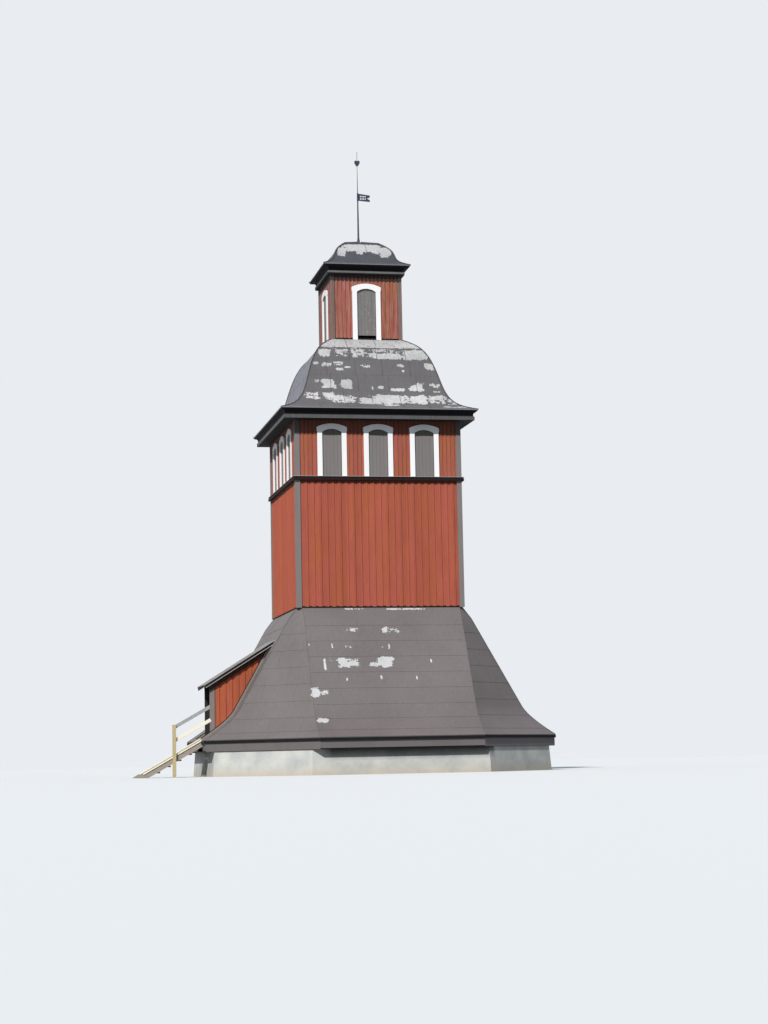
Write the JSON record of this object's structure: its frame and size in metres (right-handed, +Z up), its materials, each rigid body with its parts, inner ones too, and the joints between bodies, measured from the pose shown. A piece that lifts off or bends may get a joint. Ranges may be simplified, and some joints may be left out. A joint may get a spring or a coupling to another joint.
{
  "type": "wooden bell tower",
  "caption": "Free-standing wooden bell tower: square boarded shaft on an eight-sided flared skirt roof, shuttered belfry, bell-shaped roof, lantern and a turning vane.",
  "frame": {"origin": "on the tower's upright axis at ground level, in the plane of the plinth's underside", "axes": "+Z up, -Y out of the front, -X out of the side with the covered stair"},
  "size_m": [13.5766, 11.47, 21.217],
  "materials": {
    "render_plaster": "lime-washed render on masonry",
    "roof_sheet": "painted sheet metal, peeling",
    "grey_boards": "painted boards",
    "red_boards": "matt red paint on sawn boards",
    "white_trim": "painted boards",
    "dark_trim": "dark painted boards",
    "bare_timber": "bare timber, weathered",
    "wrought_iron": "dark painted iron"
  },
  "bodies": {
    "tower": {"belfry_back_wall": "red_boards", "belfry_casings": "white_trim", "belfry_cornice": "dark_trim", "belfry_floor": "bare_timber", "belfry_front_wall": "red_boards", "belfry_left_wall": "red_boards", "belfry_right_wall": "red_boards", "belfry_shutters": "grey_boards", "bell_roof_front_back": "roof_sheet", "bell_roof_sides": "roof_sheet", "cap_roof": "roof_sheet", "corner_boards": "grey_boards", "drip_band": "dark_trim", "entrance_floor": "bare_timber", "heart_finial": "wrought_iron", "lantern_casings": "white_trim", "lantern_corner_boards": "grey_boards", "lantern_cornice": "dark_trim", "lantern_floor": "bare_timber", "lantern_shutters": "grey_boards", "lantern_walls_front_back": "red_boards", "lantern_walls_sides": "red_boards", "plinth_corners": "render_plaster", "plinth_sides": "render_plaster", "shaft_back_wall": "red_boards", "shaft_front_wall": "red_boards", "shaft_left_wall": "red_boards", "shaft_right_wall": "red_boards", "sill_beam": "bare_timber", "skirt_back_slope": "roof_sheet", "skirt_corner_slopes": "roof_sheet", "skirt_eave_boards": "grey_boards", "skirt_front_slope": "roof_sheet", "skirt_left_slope_sides": "roof_sheet", "skirt_left_slope_top": "roof_sheet", "skirt_right_slope": "roof_sheet", "spire_rod": "wrought_iron", "stair_cover_roof": "roof_sheet", "stair_cover_trim": "grey_boards", "stair_cover_walls": "red_boards", "stair_newel": "bare_timber", "stair_rails": "bare_timber", "stair_stringers": "bare_timber", "stair_treads": "bare_timber"},
    "vane": {"vane": "wrought_iron"}
  },
  "joints": [
    {"name": "vane_turn", "type": "hinge", "parent": "tower", "child": "vane", "pos_m": [0, 0, 19.615], "axis": [0, 0, 1], "continuous": true}
  ]
}
